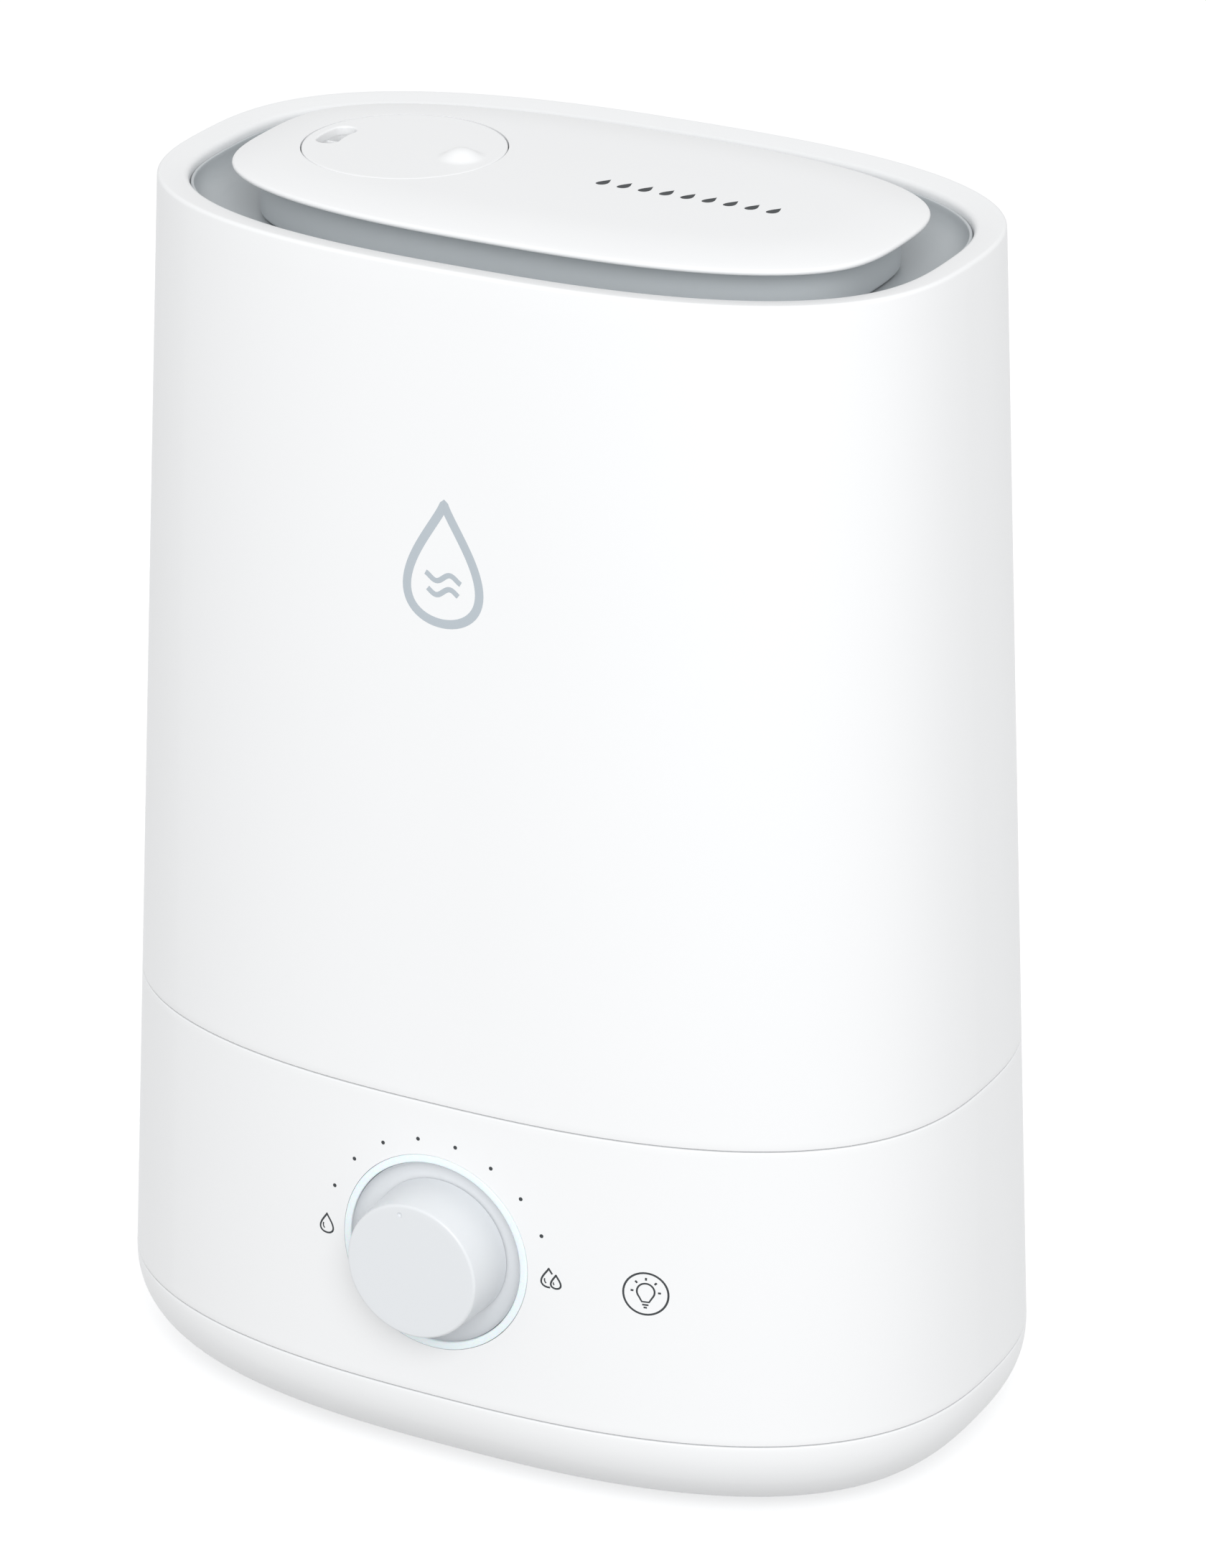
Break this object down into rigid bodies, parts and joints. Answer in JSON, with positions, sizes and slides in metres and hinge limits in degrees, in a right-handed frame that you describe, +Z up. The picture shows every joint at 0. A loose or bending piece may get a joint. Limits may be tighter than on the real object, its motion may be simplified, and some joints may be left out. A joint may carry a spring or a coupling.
{
  "type": "cool mist humidifier",
  "caption": "Top-fill ultrasonic cool mist humidifier with an oval tank, lift-off lid, turning mist nozzle, output knob and touch light key.",
  "frame": {"origin": "centre of the bounding box's underside, on the surface that the feet stand on", "axes": "+Z up, -Y to the front with the knob, +X to the right seen from the front, and the mist nozzle on the -X side"},
  "size_m": [0.227, 0.1576, 0.312],
  "materials": {
    "white_casing": "injection-moulded ABS, satin gloss",
    "white_trim": "injection-moulded ABS, fine satin",
    "grey_liner": "injection-moulded ABS, smooth satin",
    "basin_plastic": "moulded polypropylene, smooth",
    "inner_plastic": "moulded ABS, as moulded",
    "black_plastic": "glass-filled PBT, fine matt",
    "float_plastic": "moulded polypropylene, smooth",
    "light_diffuser": "frosted polycarbonate, lit from behind",
    "rubber_feet": "moulded rubber, matt",
    "white_silicone": "moulded silicone, smooth",
    "wire_insulation": "PVC insulation, smooth",
    "plated_steel": "zinc plated, bright",
    "cast_aluminium": "as cast and extruded, satin",
    "copper_winding": "enamelled copper",
    "brass_shaft": "turned brass",
    "magnet_ferrite": "sintered ferrite, matt",
    "circuit_board": "solder-masked fibreglass laminate"
  },
  "bodies": {
    "base": {"base_shell": "white_casing", "bottom_pan": "white_casing", "foot_front_left": "rubber_feet", "foot_front_right": "rubber_feet", "foot_back_left": "rubber_feet", "foot_back_right": "rubber_feet", "pan_screws": "plated_steel", "basin_tray": "basin_plastic", "piezo_disc": "plated_steel", "piezo_gasket": "white_silicone", "piezo_clamp": "cast_aluminium", "piezo_screws": "plated_steel", "float_clip": "inner_plastic", "reed_switch": "black_plastic", "fan_frame": "black_plastic", "fan_duct": "inner_plastic", "fan_screws": "plated_steel", "main_board": "circuit_board", "heat_sink": "cast_aluminium", "power_transistor": "black_plastic", "driver_coil": "copper_winding", "board_capacitors": "black_plastic", "board_connectors": "inner_plastic", "board_screws": "plated_steel", "control_board": "circuit_board", "potentiometer": "plated_steel", "pot_nut": "plated_steel", "knob_dish": "white_trim", "light_ring": "light_diffuser", "led_board": "circuit_board", "touch_electrode": "copper_winding", "touch_board": "circuit_board", "power_jack": "black_plastic", "jack_nut": "plated_steel", "transducer_lead": "wire_insulation", "fan_lead": "wire_insulation", "inlet_lead": "wire_insulation", "control_lead": "wire_insulation"},
    "knob": {"knob": "white_trim", "pot_shaft": "brass_shaft"},
    "float": {"water_float": "float_plastic", "float_magnet": "magnet_ferrite"},
    "fan": {"fan_rotor": "black_plastic"},
    "tank": {"tank_shell": "white_casing", "fill_funnel": "grey_liner", "funnel_floor": "grey_liner", "tank_floor": "basin_plastic", "mist_tube": "basin_plastic", "tube_seal": "white_silicone", "valve_cap": "inner_plastic", "valve_gasket": "white_silicone"},
    "plunger": {"valve_plunger": "float_plastic", "valve_washer": "white_silicone", "valve_spring": "plated_steel"},
    "lid": {"lid_cover": "white_casing", "lid_neck": "grey_liner", "lid_screws": "plated_steel", "nozzle_seal": "white_silicone"},
    "nozzle": {"nozzle_disc": "white_casing", "nozzle_cup": "basin_plastic"}
  },
  "joints": [
    {"name": "knob_turn", "type": "hinge", "parent": "base", "child": "knob", "pos_m": [0, 0.0049, 0.062], "axis": [0, -1, 0], "range_deg": [-101, 79]},
    {"name": "float_rise", "type": "slide", "parent": "base", "child": "float", "axis": [0, 0, 1], "range_m": [0, 0.006]},
    {"name": "fan_spin", "type": "hinge", "parent": "base", "child": "fan", "pos_m": [0.008, 0.0329, 0.058], "axis": [0, 0, 1], "continuous": true},
    {"name": "tank_lift", "type": "slide", "parent": "base", "child": "tank", "axis": [0, 0, 1], "range_m": [0, 0.15]},
    {"name": "valve_drop", "type": "slide", "parent": "tank", "child": "plunger", "axis": [0, 0, -1], "range_m": [0, 0.0035], "deforming": ["valve_spring"]},
    {"name": "lid_lift", "type": "slide", "parent": "tank", "child": "lid", "axis": [0, 0, 1], "range_m": [0, 0.1]},
    {"name": "nozzle_turn", "type": "hinge", "parent": "lid", "child": "nozzle", "pos_m": [-0.046, 0.0049, 0.309], "axis": [0, 0, 1], "continuous": true}
  ],
  "couplings": [
    {"joint": "valve_drop", "follows": "tank_lift", "ratio": 0.0233}
  ]
}
